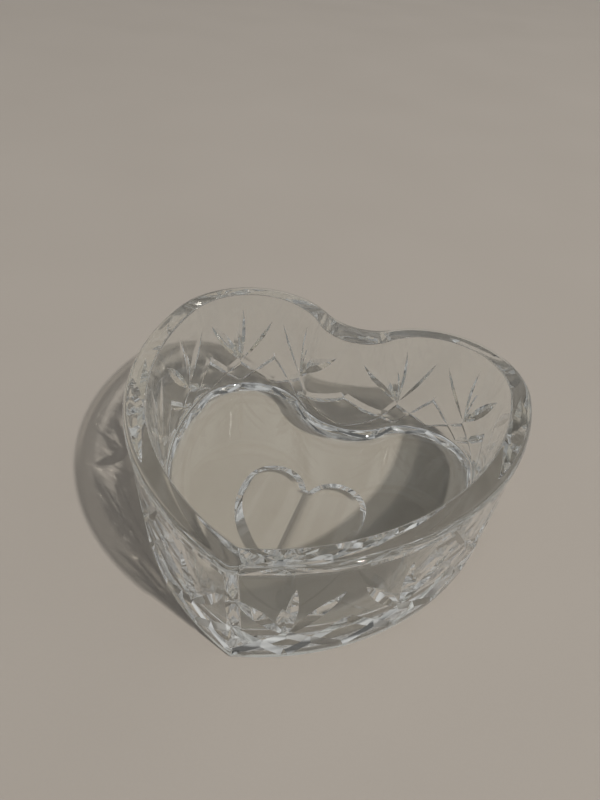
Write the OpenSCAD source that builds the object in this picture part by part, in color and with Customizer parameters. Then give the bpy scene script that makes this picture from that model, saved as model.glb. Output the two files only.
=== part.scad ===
// Heart-shaped trinket dish in one piece of thick clear crystal glass.
// Millimetres, +Z up. The origin is at the middle of the underside, on the table.
// The heart's axis of symmetry lies along Y, with its point towards -Y and its two lobes towards +Y.

/* [Overall size] */
// Width across the two lobes, at the rim
dish_w = 130; // [112:1:146]
// Length from the point of the heart to the top of its lobes, at the rim
dish_l = 126; // [112:1:138]
// Height from the table to the top of the rim
dish_h = 45.5; // [40:0.5:60]

/* [Heart outline] */
// Radius of the two long sides
side_r = 90; // [84:1:110]
// Radius of the two lobes
lobe_r = 32; // [28:0.5:36]
// Radius of the cleft between the lobes
cleft_r = 18.5; // [12:0.5:24]
// Radius of the cleft in the outline that the hollow is drawn in from; a smaller one thickens the wall there
hollow_cleft_r = 9.5; // [7:0.5:20]
// Radius that rounds the point of the heart
tip_r = 1.25; // [0.75:0.25:5]

/* [Wall and floor] */
// Thickness of the wall at the rim
rim_t = 7; // [5:0.25:9]
// How far the foot lies inside the rim all round
foot_inset = 3; // [0.5:0.1:5]
// Bevel under the foot's edge
foot_bevel = 0.8; // [0.4:0.1:1.5]
// Thickness of the floor
floor_t = 5; // [4.5:0.25:10]
// How much thicker the wall is at the floor than at the rim
wall_gain = 3.5; // [0:0.25:5]
// Radius between the inside wall and the floor
floor_r = 8; // [3:0.25:10]

/* [Rim] */
// Width of the bevel that runs round the outside of the rim
lip_w = 1.9; // [1:0.1:2.5]
// Height of the rim's outer lip, from its lower edge to the top
lip_h = 3.2; // [2:0.1:5]
// How far the lip stands out from the wall under it
lip_proud = 0.4; // [0.2:0.1:1]
// Small round on the inner edge of the rim
rim_r = 0.6; // [0.3:0.1:1]

/* [Heart cut under the floor] */
// Width of the small heart
inlay_w = 45; // [36:0.5:54]
// Length of the small heart
inlay_l = 44; // [36:0.5:50]
// Radius of the small heart's cleft
inlay_cleft_r = 1; // [0.5:0.25:4]
// Distance of the small heart's middle from the dish's middle, towards the point
inlay_shift = 8; // [0:0.5:14]
// Depth of the small heart along its ridge
inlay_edge = 1.2; // [0.5:0.1:1.5]
// Depth of the small heart in the middle of each lobe
inlay_depth = 2.6; // [1.8:0.1:3]
// Distance of each hollow's deepest line from the ridge
inlay_crown = 11; // [8:0.5:13]
// Width of the small heart's sloping edge, as a share of its depth
inlay_slope = 1.3; // [0.6:0.1:2]

/* [Cut pattern] */
// Fans of leaves on each half of the heart
fans = 6; // [4:1:8]
// Distance along the wall from the point of the heart to the first fan
fan_first = 16.5; // [12:0.5:22]
// Distance along the wall from the last fan to the middle of the cleft
fan_last = 18.5; // [14:0.5:30]
// Height at which a fan's leaves meet
fan_z = 13.5; // [11:0.5:18]
// Length of a fan's two outer leaves
leaf_l = 24; // [14:0.5:25]
// Lean of the outer leaves from upright, in degrees
leaf_lean = 38; // [28:1:44]
// Width of the outer leaves
leaf_w = 4.4; // [2.5:0.1:5]
// Length of a fan's thin upright blade
blade_l = 23.5; // [12:0.5:25]
// Width of the blade
blade_w = 3.4; // [1.5:0.1:3.5]
// Lean of the blade from upright, in degrees
blade_lean = 2.5; // [0:0.5:10]
// Length of a fan's short oval leaf
oval_l = 14.5; // [9:0.5:18]
// Width of the oval leaf
oval_w = 4.4; // [3:0.1:5]
// Lean of the oval leaf from upright, away from the blade, in degrees
oval_lean = 8; // [3:0.5:14]
// Height of the crossed mitre lines' upper turns, between the fans
mitre_top = 17.5; // [15:0.5:22]
// Height of the crossed mitre lines' lower turns
mitre_foot = 3; // [2.5:0.5:7]
// Width of a mitre line
mitre_w = 2.9; // [1:0.1:3]
// Depth of every cut, as a share of half its width
cut_steepness = 0.8; // [0.4:0.05:1]

/* [Hidden] */
glass = [0.80, 0.86, 0.86, 0.55];
// steps on the tip, side, lobe and cleft arcs of half a heart
ring_steps = [3, 12, 20, 5];
// steps on the round between the wall and the floor
floor_steps = 5;
// steps on the round of the lip and of the inner edge
lip_steps = 3;
// the small heart's arcs follow its width, as those of the dish do
inlay_k = inlay_w / dish_w;
// part of a lobe's radius that its arc must reach past the lobe's middle at the cleft
cleft_share = 0.05;
eps = 0.01;
// lengths into which a leaf and a mitre line are divided
leaf_steps = 6;
line_steps = 3;
// how far the cutting edges start outside the wall
cut_lift = 0.4;

// ---- the heart outline, from four arcs a side ----

// Sizes of a heart: width, length, side, lobe, cleft and tip radius
dish_heart = [dish_w, dish_l, side_r, lobe_r, cleft_r, tip_r];
hollow_heart = with_cleft(dish_heart, hollow_cleft_r);
inlay_heart = with_cleft([inlay_w, inlay_l, side_r * inlay_k, lobe_r * inlay_k, 0, tip_r * inlay_k], inlay_cleft_r);

// Points along an arc, without its last point
function arc(centre, r, from, to, steps) =
    [for (i = [0 : steps - 1]) centre + r * [cos(from + (to - from) * i / steps),
                                             sin(from + (to - from) * i / steps)]];

// Centres of the right half's arcs: side, lobe, cleft
function side_centre(h) = let (x = h[0] / 2 - h[2])
    [x, h[5] - h[1] / 2 + sqrt(pow(h[2] - h[5], 2) - x * x)];
function lobe_centre(h) = let (s = side_centre(h), y = h[1] / 2 - h[3])
    [s.x + sqrt(pow(h[2] - h[3], 2) - pow(y - s.y, 2)), y];
function cleft_centre(h) = let (l = lobe_centre(h))
    [0, l.y + sqrt(pow(h[3] + h[4], 2) - l.x * l.x)];

// A heart with a cleft of its own, wide enough for the lobes' arcs to meet it
function with_cleft(h, r) =
    [h[0], h[1], h[2], h[3], max(r, lobe_centre(h).x - h[3] * (1 - cleft_share)), h[5]];

// Directions, in degrees, at which the arcs of the right half meet
function tip_turn(h, inset) = let (s = side_centre(h))
    -acos(-s.x / (h[2] - inset - h[5]));
function side_turn(h) = let (d = lobe_centre(h) - side_centre(h)) atan2(d.y, d.x);
function lobe_turn(h) = let (d = cleft_centre(h) - lobe_centre(h)) atan2(d.y, d.x);

// Right half of a heart drawn in by inset, from the tip to the cleft
function half_heart(h, inset) = let (
        s = side_centre(h),
        tip = [0, s.y + (h[2] - inset - h[5]) * sin(tip_turn(h, inset))])
    concat(
        arc(tip, h[5], -90, tip_turn(h, inset), ring_steps[0]),
        arc(s, h[2] - inset, tip_turn(h, inset), side_turn(h), ring_steps[1]),
        arc(lobe_centre(h), h[3] - inset, side_turn(h), lobe_turn(h), ring_steps[2]),
        arc(cleft_centre(h), h[4] + inset, lobe_turn(h) - 180, -90, ring_steps[3]),
        [cleft_centre(h) - [0, h[4] + inset]]);

// Whole heart, counter-clockwise from the tip
function heart(h, inset = 0) = let (right = half_heart(h, inset), n = len(right))
    concat(right, [for (i = [n - 2 : -1 : 1]) [-right[i].x, right[i].y]]);

// ---- the dish's section, as pairs of inset and height, outside and inside ----

wall_top = dish_h - lip_h;
inner_foot = rim_t + wall_gain;

foot_section = [[foot_inset + foot_bevel, 0], [foot_inset, foot_bevel]];
lip_section = concat(
    [[lip_proud, wall_top], [0, wall_top + lip_proud]],
    [for (i = [0 : lip_steps]) let (a = 90 * i / lip_steps)
        [lip_w * (1 - cos(a)), wall_top + lip_h / 2 + lip_h / 2 * sin(a)]]);
rim_section = [for (i = [0 : lip_steps]) let (a = 90 - 90 * i / lip_steps)
    [rim_t - rim_r + rim_r * cos(a), dish_h - rim_r + rim_r * sin(a)]];
floor_section = [for (i = [0 : floor_steps]) let (a = 90 * i / floor_steps)
    [inner_foot + floor_r * (1 - cos(a)), floor_t + floor_r * (1 - sin(a))]];
outside = concat(foot_section, lip_section);
inside = concat(rim_section, floor_section);

// One heart-shaped ring of points for each pair
function heart_rings(h, pairs) = [for (p = pairs) [for (q = heart(h, p[0])) [q.x, q.y, p[1]]]];

// A closed solid through rings of as many points each
module loft(rings) {
    n = len(rings[0]);
    points = [for (ring = rings) for (q = ring) q];
    sides = [for (k = [0 : len(rings) - 2]) for (i = [0 : n - 1])
        let (a = k * n + i, b = k * n + (i + 1) % n)
        each [[a, a + n, b], [b, a + n, b + n]]];
    bottom = [for (i = [0 : n - 1]) i];
    top = [for (i = [n - 1 : -1 : 0]) (len(rings) - 1) * n + i];
    polyhedron(points, concat([bottom], sides, [top]), convexity = 8);
}

// The hollow under the floor: a heart with a sloping edge, whose roof is two long rounded vaults that meet in a ridge
module inlay_hollow() {
    rise = inlay_depth - inlay_edge;
    vault_r = (inlay_crown * inlay_crown + rise * rise) / (2 * rise);
    translate([0, -inlay_shift, 0])
        intersection() {
            loft(heart_rings(inlay_heart, [for (z = [-eps, inlay_depth + 0.5]) [inlay_slope * z, z]]));
            for (side = [-1, 1])
                translate([side * inlay_crown, 0, inlay_depth - vault_r])
                    rotate([90, 0, 0]) cylinder(h = inlay_l * 2, r = vault_r, center = true, $fn = 160);
        }
}

// ---- the cut pattern, laid out along the wall ----
// s is the distance along the outline from the point of the heart, on its right half; z is the height.

deg = 180 / PI;
arc_ends = let (h = dish_heart,
        tip = h[5] * (90 + tip_turn(h, 0)) / deg,
        side = tip + h[2] * (side_turn(h) - tip_turn(h, 0)) / deg,
        lobe = side + h[3] * (lobe_turn(h) - side_turn(h)) / deg)
    [tip, side, lobe, lobe + h[4] * (lobe_turn(h) - 90) / deg];
half_length = arc_ends[3];

// Direction in which the wall faces at s
function facing(s) =
    s < arc_ends[0] ? s / tip_r * deg - 90
    : s < arc_ends[1] ? tip_turn(dish_heart, 0) + (s - arc_ends[0]) / side_r * deg
    : s < arc_ends[2] ? side_turn(dish_heart) + (s - arc_ends[1]) / lobe_r * deg
    : lobe_turn(dish_heart) - (s - arc_ends[2]) / cleft_r * deg;

// Middle of the arc at s, and its radius, which is negative where the wall is hollow
function arc_centre(s) =
    s < arc_ends[0] ? [0, tip_r - dish_l / 2]
    : s < arc_ends[1] ? side_centre(dish_heart)
    : s < arc_ends[2] ? lobe_centre(dish_heart) : cleft_centre(dish_heart);
function arc_radius(s) =
    s < arc_ends[0] ? tip_r : s < arc_ends[1] ? side_r : s < arc_ends[2] ? lobe_r : -cleft_r;

// Point of the wall at s and z, moved out of the wall by lift
function wall_point(s, z, lift) = let (
        inset = foot_inset + (lip_proud - foot_inset) * (z - foot_bevel) / (wall_top - foot_bevel),
        q = arc_centre(s) + (arc_radius(s) - inset + lift) * [cos(facing(s)), sin(facing(s))])
    [q.x, q.y, z];

// Triangular section of a cutting edge at a, square to a cut that leans by lean, cut to depth
function edge(a, lean, depth) = let (
        half = (depth + cut_lift) / cut_steepness,
        across = half * [cos(lean), -sin(lean)],
        out = facing(a.x),
        bow = [-sin(out), cos(out)],
        top = wall_point(a.x, a.y, cut_lift))
    [wall_point(a.x, a.y, -depth),
     top + [bow.x * across.x, bow.y * across.x, across.y],
     top - [bow.x * across.x, bow.y * across.x, across.y]];

// A V-shaped cut from a to b, both [s, z]. A leaf swells to its width in the middle; a line keeps it.
module cut(a, b, width, leaf, steps) {
    lean = atan2(b.x - a.x, b.y - a.y);
    depth = width / 2 * cut_steepness;
    edges = [for (i = [0 : steps]) let (t = i / steps)
        edge(a + (b - a) * t, lean, leaf ? depth * (1 - pow(2 * t - 1, 2)) : depth)];
    for (i = [1 : steps])
        hull() polyhedron(concat(edges[i - 1], edges[i]), [[0, 1, 2], [3, 4, 5]]);
}

module leaf(s, length, lean, width)
    cut([s, fan_z], [s + length * sin(lean), fan_z + length * cos(lean)], width, true, leaf_steps);

// Two long leaves, a thin blade and a short oval; hand is 1 or -1 and says which way the oval leans
module fan(s, hand) {
    for (side = [-1, 1]) leaf(s, leaf_l, side * leaf_lean, leaf_w);
    leaf(s, blade_l, -hand * blade_lean, blade_w);
    leaf(s, oval_l, hand * oval_lean, oval_w);
}

// Places of the fans, and the lines' turns half-way between them, at the point and at the cleft
fan_gap = (half_length - fan_first - fan_last) / (fans - 1);
fan_places = [for (i = [0 : fans - 1]) fan_first + i * fan_gap];
turns = concat([0], [for (i = [1 : fans - 1]) fan_places[i] - fan_gap / 2], [half_length]);

module line(a, b) cut(a, b, mitre_w, false, line_steps);

module cut_pattern()
    for (side = [0, 1]) mirror([side, 0, 0]) {
        for (i = [0 : fans - 1]) {
            fan(fan_places[i], i % 2 == 0 ? -1 : 1);
            for (turn = [turns[i], turns[i + 1]]) {
                line([turn, mitre_top], [fan_places[i], mitre_foot]);
                line([turn, mitre_foot], [fan_places[i], fan_z]);
            }
        }
    }

module crystal_dish() {
    color(glass)
        difference() {
            loft(concat(heart_rings(dish_heart, outside), heart_rings(hollow_heart, inside)));
            inlay_hollow();
            cut_pattern();
        }
}

crystal_dish();
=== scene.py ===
"""Looks of a heart-shaped trinket dish in thick cut crystal glass.

The dish is one piece of glass, so one piece is modelled here, on the body "root", and it stands
for the node crystal_dish of the frame.  Lengths in this file are metres, Z is up, the middle of
the underside is the origin and the point of the heart looks towards -Y.
"""

import logging
import math
from dataclasses import dataclass, field
from enum import Enum

import bpy
from mathutils import Matrix, Vector

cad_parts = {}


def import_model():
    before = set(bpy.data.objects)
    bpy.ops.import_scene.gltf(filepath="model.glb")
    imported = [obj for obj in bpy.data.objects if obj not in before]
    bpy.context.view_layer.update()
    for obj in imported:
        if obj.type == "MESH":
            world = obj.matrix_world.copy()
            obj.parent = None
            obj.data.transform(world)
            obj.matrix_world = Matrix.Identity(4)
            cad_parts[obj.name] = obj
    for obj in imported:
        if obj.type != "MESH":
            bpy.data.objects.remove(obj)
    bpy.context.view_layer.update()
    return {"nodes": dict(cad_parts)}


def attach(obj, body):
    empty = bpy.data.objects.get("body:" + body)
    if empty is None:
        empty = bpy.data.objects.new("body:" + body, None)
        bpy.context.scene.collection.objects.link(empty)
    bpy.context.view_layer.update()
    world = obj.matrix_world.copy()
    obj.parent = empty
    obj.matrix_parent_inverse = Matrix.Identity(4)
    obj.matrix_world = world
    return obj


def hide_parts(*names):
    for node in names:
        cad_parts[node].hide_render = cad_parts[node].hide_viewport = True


log = logging.getLogger("heart_dish")

MM = 0.001
# Points closer than this are merged, in metres
WELD = 2e-6
# Places that differ by less than this count as the same, in metres
NEAR = 1e-6
BODY = "root"
NODE = "crystal_dish"


# ---- working on the bench: short forms of the operators ----


def clear_selection() -> None:
    """Deselects every object."""
    bpy.ops.object.select_all(action="DESELECT")


def pick(piece: bpy.types.Object) -> None:
    """Makes one object the only selected and the active one.

    Args:
        piece: The object to work on.
    """
    clear_selection()
    piece.select_set(True)
    bpy.context.view_layer.objects.active = piece


def edit(piece: bpy.types.Object) -> None:
    """Opens one object in edit mode."""
    pick(piece)
    bpy.ops.object.mode_set(mode="EDIT")


def close() -> None:
    """Leaves edit mode."""
    bpy.ops.object.mode_set(mode="OBJECT")


def delete(piece: bpy.types.Object) -> None:
    """Removes an object that was only a tool."""
    bpy.data.objects.remove(piece, do_unlink=True)


def apply_all(piece: bpy.types.Object) -> None:
    """Applies every modifier of a piece in order."""
    pick(piece)
    for name in [m.name for m in piece.modifiers]:
        bpy.ops.object.modifier_apply(modifier=name)


def settle(piece: bpy.types.Object) -> None:
    """Puts a piece's place, turn and scale into its mesh."""
    pick(piece)
    bpy.ops.object.transform_apply(location=True, rotation=True, scale=True)


def select_where(piece: bpy.types.Object, kind: str, test) -> int:
    """Selects the vertices, edges or faces of a mesh in edit mode by a test of their place.

    Args:
        piece: The object, which is in edit mode.
        kind: VERT, EDGE or FACE.
        test: Takes the list of corner places and says whether the element is wanted.

    Returns:
        How many elements were selected.
    """
    bpy.ops.mesh.select_mode(type=kind)
    bpy.ops.mesh.select_all(action="DESELECT")
    close()
    mesh = piece.data
    places = [v.co.copy() for v in mesh.vertices]
    if kind == "VERT":
        elements, corners = mesh.vertices, [[v.index] for v in mesh.vertices]
    elif kind == "EDGE":
        elements, corners = mesh.edges, [list(e.vertices) for e in mesh.edges]
    else:
        elements, corners = mesh.polygons, [list(p.vertices) for p in mesh.polygons]
    wanted = [test([places[i] for i in c]) for c in corners]
    elements.foreach_set("select", wanted)
    bpy.ops.object.mode_set(mode="EDIT")
    bpy.ops.mesh.select_mode(type=kind)
    return sum(wanted)


# ---- sizes ----


@dataclass(frozen=True)
class HeartArcs:
    """A heart outline: on each side an arc for the long side, one for the lobe, one for the cleft."""

    width: float
    length: float
    side_r: float
    lobe_r: float
    cleft_r: float
    tip_r: float

    @property
    def tip_centre(self) -> Vector:
        """Middle of the tip's round, on the heart's axis."""
        return Vector((0.0, self.tip_r - self.length / 2))

    @property
    def side_centre(self) -> Vector:
        """Middle of the right long side's arc."""
        x = self.width / 2 - self.side_r
        return Vector((x, self.tip_centre.y + math.sqrt((self.side_r - self.tip_r) ** 2 - x * x)))

    @property
    def lobe_centre(self) -> Vector:
        """Middle of the right lobe's arc."""
        side, y = self.side_centre, self.length / 2 - self.lobe_r
        return Vector((side.x + math.sqrt((self.side_r - self.lobe_r) ** 2 - (y - side.y) ** 2), y))

    @property
    def cleft_centre(self) -> Vector:
        """Middle of the cleft's arc, on the heart's axis."""
        lobe = self.lobe_centre
        return Vector((0.0, lobe.y + math.sqrt((self.lobe_r + self.cleft_r) ** 2 - lobe.x ** 2)))

    @property
    def tip_turn(self) -> float:
        """Direction at which the tip's round meets the long side."""
        return -math.acos(-self.side_centre.x / (self.side_r - self.tip_r))

    @property
    def side_turn(self) -> float:
        """Direction at which the long side meets the lobe."""
        d = self.lobe_centre - self.side_centre
        return math.atan2(d.y, d.x)

    @property
    def lobe_turn(self) -> float:
        """Direction at which the lobe meets the cleft."""
        d = self.cleft_centre - self.lobe_centre
        return math.atan2(d.y, d.x)

    @property
    def arc_ends(self) -> tuple[float, float, float, float]:
        """Distances along the outline from the point at which the tip, side, lobe and cleft end."""
        tip = self.tip_r * (math.pi / 2 + self.tip_turn)
        side = tip + self.side_r * (self.side_turn - self.tip_turn)
        lobe = side + self.lobe_r * (self.lobe_turn - self.side_turn)
        return tip, side, lobe, lobe + self.cleft_r * (self.lobe_turn - math.pi / 2)

    def place(self, along: float, inset: float) -> tuple[float, float]:
        """Point of the right half at a distance along the outline, drawn in by inset.

        Args:
            along: Distance from the point of the heart.
            inset: Distance inside the outline; negative is outside.

        Returns:
            The point's x and y.
        """
        tip, side, lobe, _ = self.arc_ends
        if along < tip:
            centre, turn, r = self.tip_centre, along / self.tip_r - math.pi / 2, self.tip_r
        elif along < side:
            centre, turn, r = self.side_centre, self.tip_turn + (along - tip) / self.side_r, self.side_r
        elif along < lobe:
            centre, turn, r = self.lobe_centre, self.side_turn + (along - side) / self.lobe_r, self.lobe_r
        else:
            centre, turn, r = self.cleft_centre, self.lobe_turn - (along - lobe) / self.cleft_r, -self.cleft_r
        reach = r - inset
        return centre.x + reach * math.cos(turn), centre.y + reach * math.sin(turn)


@dataclass(frozen=True)
class WallSizes:
    """Heights and thicknesses of the dish's wall, rim and floor."""

    height: float = 45.5 * MM
    rim: float = 7 * MM
    foot_inset: float = 3 * MM
    foot_bevel: float = 0.8 * MM
    floor: float = 5 * MM
    gain: float = 3.5 * MM
    floor_round: float = 8 * MM
    lip_width: float = 1.9 * MM
    lip_height: float = 3.2 * MM
    lip_proud: float = 0.4 * MM
    rim_round: float = 0.6 * MM
    guard: float = 0.3 * MM
    arc_steps: int = 10

    @property
    def wall_top(self) -> float:
        """Height at which the plain wall ends under the lip."""
        return self.height - self.lip_height

    def inset_at(self, z: float) -> float:
        """How far the outside of the wall lies inside the rim's outline at a height."""
        share = (z - self.foot_bevel) / (self.wall_top - self.foot_bevel)
        return self.foot_inset + (self.lip_proud - self.foot_inset) * share

    def outside(self) -> list[tuple[float, float]]:
        """Section of the wall's outside from the foot to the top of the rim.

        Returns:
            Pairs of inset and height, in the order in which the section is drawn.
        """
        steps, half = self.arc_steps, self.lip_height / 2
        pairs = [
            (self.foot_inset + self.foot_bevel, 0.0),
            (self.foot_inset, self.foot_bevel),
            (self.lip_proud, self.wall_top),
            (0.0, self.wall_top + self.lip_proud),
        ]
        for i in range(steps + 1):
            a = math.pi / 2 * i / steps
            pairs.append((self.lip_width * (1 - math.cos(a)), self.wall_top + half + half * math.sin(a)))
        pairs.append((self.lip_width + self.guard, self.height))
        return pairs

    def inside(self) -> list[tuple[float, float]]:
        """Section of the hollow from the top of the rim to the floor.

        Returns:
            Pairs of inset and height, in the order in which the section is drawn.
        """
        steps, floor_steps, guard = self.arc_steps, self.arc_steps + 2, self.guard
        inner, r = self.rim + self.gain, self.rim_round
        pairs = [(self.rim - r - guard, self.height)]
        for i in range(steps + 1):
            a = math.pi / 2 * (1 - i / steps)
            pairs.append((self.rim - r + r * math.cos(a), self.height - r + r * math.sin(a)))
        pairs.append((self.rim + 0.02 * MM, self.height - r - guard))
        r = self.floor_round
        pairs.append((inner - 0.05 * MM, self.floor + r + 1 * MM))
        for i in range(floor_steps + 1):
            a = math.pi / 2 * i / floor_steps
            pairs.append((inner + r * (1 - math.cos(a)), self.floor + r * (1 - math.sin(a))))
        pairs.append((inner + r + guard, self.floor))
        return pairs


@dataclass(frozen=True)
class InlaySizes:
    """The small heart that is hollowed into the underside: two long vaults that meet in a ridge."""

    width: float = 45 * MM
    length: float = 44 * MM
    cleft: float = 1 * MM
    shift: float = 8 * MM
    edge: float = 1.2 * MM
    depth: float = 2.6 * MM
    crown: float = 11 * MM
    slope: float = 1.3


class Cut(Enum):
    """The kinds of cut that the wheel leaves in the wall."""

    OUTER_LEAF = "outer leaf"
    BLADE = "blade"
    OVAL = "oval"
    MITRE = "mitre line"


@dataclass(frozen=True)
class CutSizes:
    """Places and sizes of the cuts.  Distances along the wall start at the point of the heart."""

    fans: int = 6
    first: float = 16.5 * MM
    last: float = 18.5 * MM
    root: float = 13.5 * MM
    leaf_length: float = 24 * MM
    leaf_lean: float = math.radians(38)
    leaf_width: float = 4.4 * MM
    blade_length: float = 23.5 * MM
    blade_width: float = 3.4 * MM
    blade_lean: float = math.radians(2.5)
    oval_length: float = 14.5 * MM
    oval_width: float = 4.4 * MM
    oval_lean: float = math.radians(8)
    mitre_top: float = 17.5 * MM
    mitre_foot: float = 3 * MM
    mitre_width: float = 3.3 * MM
    steepness: float = 0.8
    lift: float = 0.4 * MM
    leaf_steps: int = 14
    mitre_steps: int = 8


# ---- the dish ----


@dataclass
class CrystalDish:
    """The whole dish: a heart-shaped wall and floor, the heart under the floor and the cuts outside."""

    outline: HeartArcs = HeartArcs(130 * MM, 126 * MM, 90 * MM, 32 * MM, 18.5 * MM, 5 * MM)
    hollow: HeartArcs = HeartArcs(130 * MM, 126 * MM, 90 * MM, 32 * MM, 9.5 * MM, 1.25 * MM)
    wall: WallSizes = field(default_factory=WallSizes)
    inlay: InlaySizes = field(default_factory=InlaySizes)
    cuts: CutSizes = field(default_factory=CutSizes)
    name: str = "cut_crystal_dish"
    wall_steps: tuple[int, int, int] = (24, 120, 84)
    inlay_steps: tuple[int, int, int] = (12, 56, 40)
    tip_steps: int = 8
    spin_past: float = math.radians(7)
    vault_sides: int = 720
    corner_segments: int = 4
    crease: float = math.radians(26)

    def spin_half(
        self, name: str, arcs: HeartArcs, section: list[tuple[float, float]], steps: tuple[int, int, int]
    ) -> bpy.types.Object:
        """Draws a section at the cleft and spins it round the cleft, the lobe and the long side.

        Args:
            name: Name of the new object.
            arcs: The heart outline to follow.
            section: Pairs of inset and height; with two or more pairs the result is a skin.
            steps: Steps on the cleft, the lobe and the long side.

        Returns:
            The right half, cut off at the heart's axis.
        """
        cleft, lobe, side = arcs.cleft_centre, arcs.lobe_centre, arcs.side_centre
        rounded = arcs.tip_r > max(inset for inset, _ in section)
        places = [Vector((0.0, cleft.y - arcs.cleft_r - inset, z)) for inset, z in section]
        clear_selection()
        bpy.ops.mesh.primitive_plane_add(size=0.1 * MM, location=places[0])
        half = bpy.context.object
        half.name = name
        bpy.ops.object.mode_set(mode="EDIT")
        bpy.ops.mesh.select_mode(type="VERT")
        bpy.ops.mesh.select_all(action="SELECT")
        bpy.ops.mesh.merge(type="CENTER")
        for here, there in zip(places, places[1:]):
            bpy.ops.mesh.extrude_vertices_move(TRANSFORM_OT_translate={"value": there - here})
        bpy.ops.mesh.select_all(action="SELECT")
        past = 0.0 if rounded else self.spin_past
        spins = [
            (cleft, arcs.lobe_turn - math.pi / 2, steps[0]),
            (lobe, arcs.side_turn - arcs.lobe_turn, steps[1]),
            (side, arcs.tip_turn - past - arcs.side_turn, steps[2]),
        ]
        if rounded:
            spins.append((arcs.tip_centre, -math.pi / 2 - arcs.tip_turn, self.tip_steps))
        for centre, turn, count in spins:
            bpy.ops.mesh.spin(steps=count, angle=-turn, center=(centre.x, centre.y, 0), axis=(0, 0, 1))
        bpy.ops.mesh.select_all(action="SELECT")
        bpy.ops.mesh.remove_doubles(threshold=NEAR)
        bpy.ops.mesh.bisect(plane_co=(0, 0, 0), plane_no=(1, 0, 0), clear_inner=True, threshold=1e-7)
        close()
        settle(half)
        return half

    @staticmethod
    def mirror_over(half: bpy.types.Object) -> None:
        """Adds the left half of a skin."""
        mirror = half.modifiers.new("other_half", "MIRROR")
        mirror.merge_threshold = WELD
        apply_all(half)

    @staticmethod
    def close_loops(skin: bpy.types.Object, height: float, way) -> None:
        """Closes the skin's open edges at a height.

        Args:
            skin: The skin.
            height: Height of the open edges.
            way: The operator that closes them, with a face or with a bridge.
        """
        edit(skin)
        bpy.ops.mesh.select_mode(type="EDGE")
        bpy.ops.mesh.select_all(action="DESELECT")
        bpy.ops.mesh.select_non_manifold(
            extend=False, use_wire=False, use_multi_face=False, use_non_contiguous=False, use_verts=False)
        close()
        for e in skin.data.edges:
            ends = [skin.data.vertices[i].co.z for i in e.vertices]
            if e.select and max(abs(height - h) for h in ends) > NEAR:
                e.select = False
        bpy.ops.object.mode_set(mode="EDIT")
        way()
        close()

    def blank(self) -> bpy.types.Object:
        """Makes the dish before it is cut.

        Returns:
            The closed blank.
        """
        blank = self.spin_half(self.name, self.outline, self.wall.outside(), self.wall_steps)
        inside = self.spin_half("hollow", self.hollow, self.wall.inside(), self.wall_steps)
        pick(blank)
        inside.select_set(True)
        bpy.ops.object.join()
        self.mirror_over(blank)
        self.close_loops(blank, self.wall.height, bpy.ops.mesh.bridge_edge_loops)
        self.close_loops(blank, 0.0, bpy.ops.mesh.edge_face_add)
        self.close_loops(blank, self.wall.floor, bpy.ops.mesh.edge_face_add)
        edit(blank)
        bpy.ops.mesh.select_all(action="SELECT")
        bpy.ops.mesh.normals_make_consistent(inside=False)
        close()
        near = (self.wall.foot_inset + self.wall.rim - self.outline.length) / 2
        far, longest = -30 * MM, 50 * MM

        def in_corner(ends: list[Vector]) -> bool:
            """Tells whether an edge runs down the corner inside the hollow, at the point of the heart."""
            on_axis = max(abs(p.x) for p in ends) < NEAR
            return on_axis and all(near < p.y < far for p in ends) and (ends[0] - ends[1]).length < longest

        edit(blank)
        log.info("edges in the corner: %d", select_where(blank, "EDGE", in_corner))
        offset = self.hollow.tip_r * math.tan(math.pi / 2 + self.hollow.tip_turn)
        bpy.ops.mesh.bevel(offset=offset, offset_type="OFFSET", segments=self.corner_segments, affect="EDGES")
        close()
        return blank

    def heart_hollow(self) -> bpy.types.Object:
        """Makes the tool for the small heart under the floor: a sloping-edged heart cut out of two vaults.

        Returns:
            The closed tool.
        """
        size, outline = self.inlay, self.outline
        k = size.width / outline.width
        side_r, lobe_r, tip_r = outline.side_r * k, outline.lobe_r * k, self.hollow.tip_r * k
        arcs = HeartArcs(size.width, size.length, side_r, lobe_r, size.cleft, tip_r)
        low, top = -0.4 * MM, size.depth + 0.5 * MM
        edge = [(z * size.slope, z) for z in (low, top)]
        tool = self.spin_half("small_heart", arcs, edge, self.inlay_steps)
        self.mirror_over(tool)
        for z in (low, top):
            self.close_loops(tool, z, bpy.ops.mesh.edge_face_add)
        edit(tool)
        bpy.ops.mesh.select_all(action="SELECT")
        bpy.ops.mesh.normals_make_consistent(inside=False)
        close()
        rise = size.depth - size.edge
        vault_r = (size.crown ** 2 + rise ** 2) / (2 * rise)
        vaults = []
        for side in (-1, 1):
            clear_selection()
            bpy.ops.mesh.primitive_cylinder_add(
                vertices=self.vault_sides, radius=vault_r, depth=2 * size.length,
                location=(side * size.crown, 0, size.depth - vault_r), rotation=(math.pi / 2, 0, 0))
            vaults.append(bpy.context.object)
            settle(vaults[-1])
        self.cut_away(vaults[0], vaults[1], "UNION")
        self.cut_away(tool, vaults[0], "INTERSECT")
        tool.data.transform(Matrix.Translation((0, -size.shift, 0)))
        return tool

    @staticmethod
    def cut_away(piece: bpy.types.Object, tool: bpy.types.Object, operation: str = "DIFFERENCE") -> None:
        """Takes a tool out of a piece and throws the tool away.

        Args:
            piece: The piece that stays.
            tool: The closed mesh that cuts it.
            operation: DIFFERENCE, INTERSECT or UNION.
        """
        cut = piece.modifiers.new("cut", "BOOLEAN")
        cut.operation = operation
        cut.solver = "MANIFOLD"
        cut.object = tool
        apply_all(piece)
        delete(tool)

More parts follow.
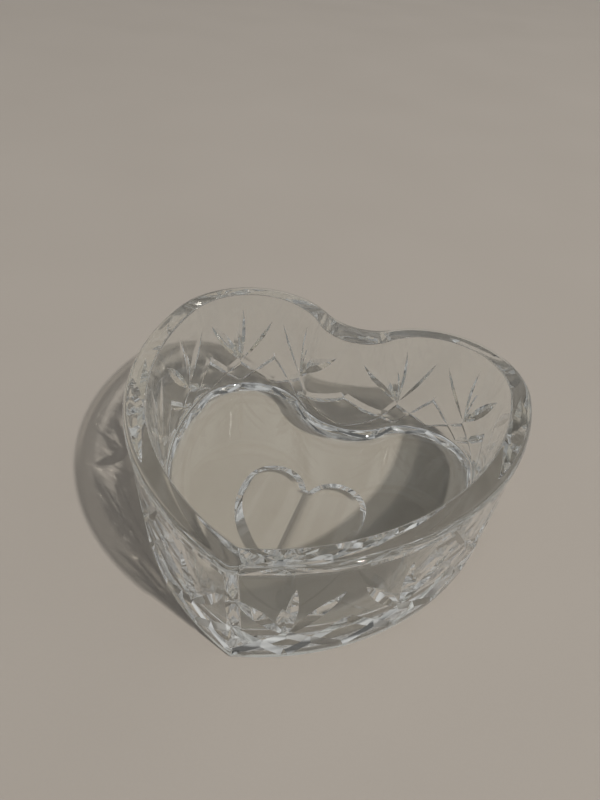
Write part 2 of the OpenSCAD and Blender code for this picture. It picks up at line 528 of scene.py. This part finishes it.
    def cutting_edge(self, name: str, length: float, width: float, swells: bool) -> bpy.types.Object:
        """Makes the V-shaped tool of one cut, lying along Z, its edge towards -Y.

        Args:
            name: Name of the tool.
            length: Length of the cut.
            width: Width of the cut where it is widest.
            swells: Whether the cut swells from nothing to its width, as a leaf does.

        Returns:
            The closed tool.
        """
        size = self.cuts
        steps = size.leaf_steps if swells else size.mitre_steps
        depth = width / 2 * size.steepness

        def deep(t: float) -> float:
            """Height of the tool's section at a share of its length."""
            return size.lift + (depth * (1 - (2 * t - 1) ** 2) if swells else depth)

        clear_selection()
        bpy.ops.mesh.primitive_circle_add(vertices=3, radius=1 * MM, fill_type="NGON", location=(0, 0, 0))
        tool = bpy.context.object
        tool.name = name
        half = deep(0) / size.steepness
        corners = [(0, size.lift - deep(0), 0), (half, size.lift, 0), (-half, size.lift, 0)]
        for vertex, corner in zip(tool.data.vertices, corners):
            vertex.co = corner
        bpy.ops.object.mode_set(mode="EDIT")
        bpy.ops.mesh.select_all(action="SELECT")
        for i in range(steps):
            grow = deep((i + 1) / steps) / deep(i / steps)
            bpy.ops.mesh.extrude_region_move(TRANSFORM_OT_translate={"value": (0, 0, length / steps)})
            if swells:
                top = (0, size.lift, (i + 1) * length / steps)
                bpy.ops.transform.resize(value=(grow, grow, 1), center_override=top)
        bpy.ops.mesh.select_all(action="SELECT")
        bpy.ops.mesh.normals_make_consistent(inside=False)
        close()
        return tool

    def bend_wall_tint(self, tool: bpy.types.Object) -> None:
        """Bends a flat row of tools round the wall: x is the distance along it, y the lift off it."""
        for vertex in tool.data.vertices:
            along, lift, z = vertex.co
            x, y = self.outline.place(max(along, 0.0), self.wall.inset_at(z) - lift)
            vertex.co = (x + min(along, 0.0), y, z)
        tool.data.flip_normals()

    def cut_rows(self) -> list[bpy.types.Object]:
        """Lays the cuts of one half along the wall, in rows whose cuts don't touch each other.

        Returns:
            One closed tool for each row, for the right half.
        """
        size = self.cuts
        half_length = self.outline.arc_ends[3]
        gap = (half_length - size.first - size.last) / (size.fans - 1)
        fans = [size.first + i * gap for i in range(size.fans)]
        turns = [0.0] + [f + gap / 2 for f in fans[:-1]] + [half_length]
        masters = {
            Cut.OUTER_LEAF: self.cutting_edge("outer_leaf", size.leaf_length, size.leaf_width, True),
            Cut.BLADE: self.cutting_edge("blade", size.blade_length, size.blade_width, True),
            Cut.OVAL: self.cutting_edge("oval", size.oval_length, size.oval_width, True),
        }
        rows: list[list[bpy.types.Object]] = []

        def lay(kind: Cut, along: float, lean: float) -> bpy.types.Object:
            """Copies a leaf tool to the root of a fan, leaning by an angle."""
            tool = masters[kind].copy()
            tool.data = masters[kind].data.copy()
            bpy.context.collection.objects.link(tool)
            tool.data.transform(Matrix.Translation((along, 0, size.root)) @ Matrix.Rotation(lean, 4, "Y"))
            return tool

        def rule(start: tuple[float, float], end: tuple[float, float]) -> bpy.types.Object:
            """Makes the tool of a mitre line from one place on the wall to another."""
            run, rise = end[0] - start[0], end[1] - start[1]
            tool = self.cutting_edge("mitre", math.hypot(run, rise), size.mitre_width, False)
            lean = Matrix.Rotation(math.atan2(run, rise), 4, "Y")
            tool.data.transform(Matrix.Translation((start[0], 0, start[1])) @ lean)
            return tool

        for lean in (-size.leaf_lean, size.leaf_lean):
            rows.append([lay(Cut.OUTER_LEAF, f, lean) for f in fans])
        hands = [-1 if i % 2 == 0 else 1 for i in range(size.fans)]
        rows.append([lay(Cut.BLADE, f, -h * size.blade_lean) for f, h in zip(fans, hands)])
        rows.append([lay(Cut.OVAL, f, h * size.oval_lean) for f, h in zip(fans, hands)])
        for ends in (turns[:-1], turns[1:]):
            rows.append([rule((t, size.mitre_top), (f, size.mitre_foot)) for t, f in zip(ends, fans)])
            rows.append([rule((t, size.mitre_foot), (f, size.root)) for t, f in zip(ends, fans)])
        for tool in masters.values():
            delete(tool)
        joined = []
        for row in rows:
            for tool in row:
                self.bend_wall_tint(tool)
            pick(row[0])
            for tool in row[1:]:
                tool.select_set(True)
            bpy.ops.object.join()
            joined.append(bpy.context.object)
        return joined

    def build(self) -> bpy.types.Object:
        """Models the dish: blank, small heart, cuts and the shading of its edges.

        Returns:
            The finished mesh.
        """
        dish = self.blank()
        log.info("blank: %d faces", len(dish.data.polygons))
        self.cut_away(dish, self.heart_hollow())
        for row in self.cut_rows():
            pick(row)
            bpy.ops.object.duplicate()
            other = bpy.context.object
            other.data.transform(Matrix.Scale(-1, 4, (1, 0, 0)))
            other.data.flip_normals()
            self.cut_away(dish, row)
            self.cut_away(dish, other)
        edit(dish)
        bpy.ops.mesh.select_all(action="SELECT")
        bpy.ops.mesh.remove_doubles(threshold=WELD)
        bpy.ops.mesh.normals_make_consistent(inside=False)
        close()
        pick(dish)
        bpy.ops.object.shade_smooth_by_angle(angle=self.crease)
        log.info("dish: %d faces", len(dish.data.polygons))
        return dish

    def dress(self, dish: bpy.types.Object, finish: "CrystalGlass") -> None:
        """Gives the dish its glass and its place in the frame."""
        dish.data.materials.clear()
        dish.data.materials.append(finish.material())
        dish.cycles.is_caustics_caster = True
        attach(dish, BODY)
        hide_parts(NODE)


# ---- finishes ----


def group_socket(
    tree: bpy.types.NodeTree, name: str, into: bool, kind: str, value: float | None = None
) -> None:
    """Adds one named input or output to a node group.

    Args:
        tree: The node group.
        name: Name of the socket.
        into: True for an input, False for an output.
        kind: The socket's type, such as NodeSocketFloat.
        value: Start value of a float input.
    """
    socket = tree.interface.new_socket(name=name, in_out="INPUT" if into else "OUTPUT", socket_type=kind)
    if value is not None:
        socket.default_value = value


def uneven_group() -> bpy.types.NodeTree:
    """Builds the shared effect of an uneven surface: broad waves, fine grain and a spread of marks.

    Returns:
        A node group that puts out a height and a mask.
    """
    tree = bpy.data.node_groups.new("uneven_surface", "ShaderNodeTree")
    group_socket(tree, "Wave Size", True, "NodeSocketFloat", 60.0)
    group_socket(tree, "Grain Size", True, "NodeSocketFloat", 900.0)
    group_socket(tree, "Grain Share", True, "NodeSocketFloat", 0.1)
    group_socket(tree, "Height", False, "NodeSocketFloat")
    group_socket(tree, "Marks", False, "NodeSocketFloat")
    new, link = tree.nodes.new, tree.links.new
    entry, leave, place = new("NodeGroupInput"), new("NodeGroupOutput"), new("ShaderNodeTexCoord")
    wave, grain, marks = new("ShaderNodeTexNoise"), new("ShaderNodeTexNoise"), new("ShaderNodeTexNoise")
    for noise, detail in ((wave, 1.0), (grain, 3.0), (marks, 4.0)):
        noise.inputs["Detail"].default_value = detail
        link(place.outputs["Object"], noise.inputs["Vector"])
    link(entry.outputs["Wave Size"], wave.inputs["Scale"])
    link(entry.outputs["Grain Size"], grain.inputs["Scale"])
    finer = new("ShaderNodeMath")
    finer.operation = "MULTIPLY"
    finer.inputs[1].default_value = 3.0
    link(entry.outputs["Wave Size"], finer.inputs[0])
    link(finer.outputs[0], marks.inputs["Scale"])
    share = new("ShaderNodeMath")
    share.operation = "MULTIPLY_ADD"
    link(grain.outputs["Fac"], share.inputs[0])
    link(entry.outputs["Grain Share"], share.inputs[1])
    link(wave.outputs["Fac"], share.inputs[2])
    spread = new("ShaderNodeMapRange")
    spread.inputs["From Min"].default_value = 0.5
    spread.inputs["From Max"].default_value = 0.75
    link(marks.outputs["Fac"], spread.inputs["Value"])
    link(share.outputs[0], leave.inputs["Height"])
    link(spread.outputs["Result"], leave.inputs["Marks"])
    return tree


@dataclass(frozen=True)
class CrystalGlass:
    """Clear crystal: gently wavy, with faint smears and a very slight green tint."""

    uneven: bpy.types.NodeTree
    lamp_place: tuple[float, float, float]
    clear: tuple[float, float, float] = (0.953, 0.967, 0.952)
    smeared: tuple[float, float, float] = (0.925, 0.930, 0.915)
    smooth: float = 0.006
    dull: float = 0.05
    refraction: float = 1.54
    wave_size: float = 55.0
    grain_size: float = 700.0
    grain_share: float = 0.02
    wave_height: float = 0.35 * MM
    wave_strength: float = 0.35
    through: tuple[float, float, float] = (0.97, 0.965, 0.94)
    stopped_below: float = 0.8
    free_above: float = 0.84
    least: float = 0.3

    @property
    def light_inside(self) -> Vector:
        """Direction towards the lamp inside the glass, after a level face has bent the light."""
        across = Vector(self.lamp_place).normalized() / self.refraction
        return Vector((across.x, across.y, math.sqrt(1 - across.x ** 2 - across.y ** 2)))

    def material(self) -> bpy.types.Material:
        """Builds the material.

        Returns:
            The glass, with colour, roughness and bump that vary over the surface.
        """
        glass = bpy.data.materials.new("clear_crystal")
        glass.use_nodes = True
        nodes, link = glass.node_tree.nodes, glass.node_tree.links.new
        shader = nodes["Principled BSDF"]
        shader.inputs["Metallic"].default_value = 0.0
        shader.inputs["Transmission Weight"].default_value = 1.0
        shader.inputs["IOR"].default_value = self.refraction
        effect = nodes.new("ShaderNodeGroup")
        effect.node_tree = self.uneven
        effect.inputs["Wave Size"].default_value = self.wave_size
        effect.inputs["Grain Size"].default_value = self.grain_size
        effect.inputs["Grain Share"].default_value = self.grain_share
        tint = nodes.new("ShaderNodeMix")
        tint.data_type = "RGBA"
        tint.inputs["A"].default_value = (*self.clear, 1.0)
        tint.inputs["B"].default_value = (*self.smeared, 1.0)
        link(effect.outputs["Marks"], tint.inputs["Factor"])
        link(tint.outputs["Result"], shader.inputs["Base Color"])
        rough = nodes.new("ShaderNodeMapRange")
        rough.inputs["To Min"].default_value = self.smooth
        rough.inputs["To Max"].default_value = self.dull
        link(effect.outputs["Marks"], rough.inputs["Value"])
        link(rough.outputs["Result"], shader.inputs["Roughness"])
        bump = nodes.new("ShaderNodeBump")
        bump.inputs["Strength"].default_value = self.wave_strength
        bump.inputs["Distance"].default_value = self.wave_height
        link(effect.outputs["Height"], bump.inputs["Height"])
        link(bump.outputs["Normal"], shader.inputs["Normal"])
        self.let_light_through(glass)
        return glass

    def let_light_through(self, glass: bpy.types.Material) -> None:
        """Lets shadow rays through: nearly all where the light meets a face steeply, a share elsewhere.

        This stands in for the light that real glass bends on to the table.  It holds for one lamp place.

        Args:
            glass: The material, whose shader is wired up.
        """
        nodes, link = glass.node_tree.nodes, glass.node_tree.links.new
        face, meet = nodes.new("ShaderNodeNewGeometry"), nodes.new("ShaderNodeVectorMath")
        either_side, free = nodes.new("ShaderNodeMath"), nodes.new("ShaderNodeMapRange")
        meet.operation = "DOT_PRODUCT"
        meet.inputs[1].default_value = self.light_inside
        link(face.outputs["Normal"], meet.inputs[0])
        either_side.operation = "ABSOLUTE"
        link(meet.outputs["Value"], either_side.inputs[0])
        free.inputs["From Min"].default_value = self.stopped_below
        free.inputs["From Max"].default_value = self.free_above
        free.inputs["To Min"].default_value = self.least
        link(either_side.outputs[0], free.inputs["Value"])
        path, share = nodes.new("ShaderNodeLightPath"), nodes.new("ShaderNodeMath")
        share.operation = "MULTIPLY"
        link(path.outputs["Is Shadow Ray"], share.inputs[0])
        link(free.outputs["Result"], share.inputs[1])
        through, either = nodes.new("ShaderNodeBsdfTransparent"), nodes.new("ShaderNodeMixShader")
        through.inputs["Color"].default_value = (*self.through, 1.0)
        link(share.outputs[0], either.inputs["Fac"])
        link(nodes["Principled BSDF"].outputs["BSDF"], either.inputs[1])
        link(through.outputs["BSDF"], either.inputs[2])
        link(either.outputs["Shader"], nodes["Material Output"].inputs["Surface"])


@dataclass(frozen=True)
class TableTop:
    """A plain pale tabletop with a faint mottle."""

    uneven: bpy.types.NodeTree
    pale: tuple[float, float, float] = (0.385, 0.355, 0.325)
    paler: tuple[float, float, float] = (0.415, 0.385, 0.355)
    roughness: float = 0.8
    shine: float = 0.15
    wave_size: float = 9.0
    grain_size: float = 1200.0
    grain_share: float = 0.4

    def material(self) -> bpy.types.Material:
        """Builds the material.

        Returns:
            The tabletop, with a faint mottle in its colour.
        """
        top = bpy.data.materials.new("pale_tabletop")
        top.use_nodes = True
        nodes, link = top.node_tree.nodes, top.node_tree.links.new
        shader = nodes["Principled BSDF"]
        shader.inputs["Roughness"].default_value = self.roughness
        shader.inputs["Specular IOR Level"].default_value = self.shine
        effect = nodes.new("ShaderNodeGroup")
        effect.node_tree = self.uneven
        effect.inputs["Wave Size"].default_value = self.wave_size
        effect.inputs["Grain Size"].default_value = self.grain_size
        effect.inputs["Grain Share"].default_value = self.grain_share
        tint = nodes.new("ShaderNodeMix")
        tint.data_type = "RGBA"
        tint.inputs["A"].default_value = (*self.pale, 1.0)
        tint.inputs["B"].default_value = (*self.paler, 1.0)
        link(effect.outputs["Height"], tint.inputs["Factor"])
        link(tint.outputs["Result"], shader.inputs["Base Color"])
        return top


# ---- the studio ----


@dataclass
class Studio:
    """Floor, light and camera round the dish."""

    floor_size: float = 6.0
    floor_drop: float = 0.05 * MM
    lamp_place: tuple[float, float, float] = (3.45, -1.45, 4.75)
    lamp_aim: tuple[float, float, float] = (0.0, 0.0, 20 * MM)
    lamp_face: float = 0.18
    lamp_watts: float = 285.0
    lamp_tint: tuple[float, float, float] = (1.0, 0.95, 0.88)
    walls: tuple[float, float, float] = (0.43, 0.425, 0.41)
    front: tuple[float, float, float] = (0.18, 0.18, 0.175)
    ceiling: tuple[float, float, float] = (0.31, 0.31, 0.31)
    patch_scale: float = 4.0
    patches: tuple[float, float] = (0.3, 1.7)
    patches_from: tuple[float, float] = (0.28, 0.42)
    noise_span: tuple[float, float] = (0.38, 0.62)
    walls_end: tuple[float, float] = (0.1, 0.9)
    walls_turn: float = 0.8
    lens: float = 29.7
    sensor: float = 36.0
    camera_place: tuple[float, float, float] = (38.847 * MM, -148.585 * MM, 177.627 * MM)
    camera_right: tuple[float, float, float] = (0.93931, 0.33522, 0.07298)
    camera_up: tuple[float, float, float] = (-0.26893, 0.58734, 0.76335)
    camera_back: tuple[float, float, float] = (0.21303, -0.73665, 0.64184)

    def floor(self, uneven: bpy.types.NodeTree) -> None:
        """Lays the pale floor just under the dish."""
        clear_selection()
        bpy.ops.mesh.primitive_plane_add(size=self.floor_size, location=(0, 0, -self.floor_drop))
        top = bpy.context.object
        top.name = "tabletop"
        bpy.ops.object.mode_set(mode="EDIT")
        bpy.ops.mesh.subdivide(number_cuts=3)
        close()
        settle(top)
        top.data.materials.append(TableTop(uneven).material())
        top.cycles.is_caustics_receiver = True

    def lamp(self) -> None:
        """Hangs the one lamp, high on the right like the sun through a window, and aims it at the dish."""
        data = bpy.data.lights.new("window", "AREA")
        data.shape = "RECTANGLE"
        data.size = data.size_y = self.lamp_face
        data.energy = self.lamp_watts
        data.color = self.lamp_tint
        data.cycles.is_caustics_light = True
        lamp = bpy.data.objects.new("window", data)
        bpy.context.collection.objects.link(lamp)
        lamp.location = self.lamp_place
        look = Vector(self.lamp_aim) - Vector(self.lamp_place)
        lamp.rotation_euler = look.to_track_quat("-Z", "Y").to_euler()

    def light(self) -> None:
        """Sets the lamp and the room round it: paler walls behind the dish, darker before it and above."""
        self.lamp()
        world = bpy.data.worlds.new("pale_room")
        bpy.context.scene.world = world
        world.use_nodes = True
        nodes, link = world.node_tree.nodes, world.node_tree.links.new
        back = nodes["Background"]
        place, parts = nodes.new("ShaderNodeTexCoord"), nodes.new("ShaderNodeSeparateXYZ")
        link(place.outputs["Generated"], parts.inputs["Vector"])
        rise, tint = nodes.new("ShaderNodeMapRange"), nodes.new("ShaderNodeMix")
        rise.inputs["From Min"].default_value, rise.inputs["From Max"].default_value = self.walls_end
        link(parts.outputs["Z"], rise.inputs["Value"])
        tint.data_type = "RGBA"
        tint.inputs["B"].default_value = (*self.ceiling, 1.0)
        link(rise.outputs["Result"], tint.inputs["Factor"])
        depth, wall_tint = nodes.new("ShaderNodeMapRange"), nodes.new("ShaderNodeMix")
        depth.inputs["From Min"].default_value = -self.walls_turn
        depth.inputs["From Max"].default_value = self.walls_turn
        link(parts.outputs["Y"], depth.inputs["Value"])
        wall_tint.data_type = "RGBA"
        wall_tint.inputs["A"].default_value = (*self.front, 1.0)
        wall_tint.inputs["B"].default_value = (*self.walls, 1.0)
        link(depth.outputs["Result"], wall_tint.inputs["Factor"])
        link(wall_tint.outputs["Result"], tint.inputs["A"])
        link(tint.outputs["Result"], back.inputs["Color"])
        self.vary(world.node_tree, place, parts)
        bpy.context.scene.view_settings.view_transform = "Standard"
        paths = bpy.context.scene.cycles
        paths.max_bounces, paths.glossy_bounces, paths.transmission_bounces = 40, 24, 32

    def vary(self, tree: bpy.types.NodeTree, place: bpy.types.Node, parts: bpy.types.Node) -> None:
        """Gives the room overhead soft lighter and darker patches, for the cut glass to reflect.

        Args:
            tree: The world's nodes.
            place: The node with the direction that is looked in.
            parts: The node with that direction's X, Y and Z.
        """
        new, link = tree.nodes.new, tree.links.new
        noise, spread = new("ShaderNodeTexNoise"), new("ShaderNodeMapRange")
        noise.inputs["Scale"].default_value = self.patch_scale
        noise.inputs["Detail"].default_value = 1.0
        link(place.outputs["Generated"], noise.inputs["Vector"])
        spread.inputs["From Min"].default_value, spread.inputs["From Max"].default_value = self.noise_span
        spread.inputs["To Min"].default_value, spread.inputs["To Max"].default_value = self.patches
        link(noise.outputs["Fac"], spread.inputs["Value"])
        overhead, level = new("ShaderNodeMapRange"), new("ShaderNodeMix")
        overhead.inputs["From Min"].default_value = self.patches_from[0]
        overhead.inputs["From Max"].default_value = self.patches_from[1]
        link(parts.outputs["Z"], overhead.inputs["Value"])
        level.inputs["A"].default_value = 1.0
        link(overhead.outputs["Result"], level.inputs["Factor"])
        link(spread.outputs["Result"], level.inputs["B"])
        link(level.outputs["Result"], tree.nodes["Background"].inputs["Strength"])

    def camera(self) -> None:
        """Places the camera at the photograph's viewing angle."""
        data = bpy.data.cameras.new("camera")
        data.sensor_width = self.sensor
        data.lens = self.lens
        data.clip_start = 10 * MM
        camera = bpy.data.objects.new("camera", data)
        bpy.context.collection.objects.link(camera)
        axes = (self.camera_right, self.camera_up, self.camera_back)
        turn = Matrix(axes).transposed().to_4x4()
        camera.matrix_world = Matrix.Translation(self.camera_place) @ turn
        bpy.context.scene.camera = camera


def main() -> None:
    """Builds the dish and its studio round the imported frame."""
    logging.basicConfig(level=logging.INFO, format="%(name)s: %(message)s")
    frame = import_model()
    log.info("frame: %s", sorted(frame["nodes"]))
    uneven = uneven_group()
    dish = CrystalDish()
    piece = dish.build()
    studio = Studio()
    dish.dress(piece, CrystalGlass(uneven, studio.lamp_place))
    studio.floor(uneven)
    studio.light()
    studio.camera()


if __name__ == "__main__":
    main()
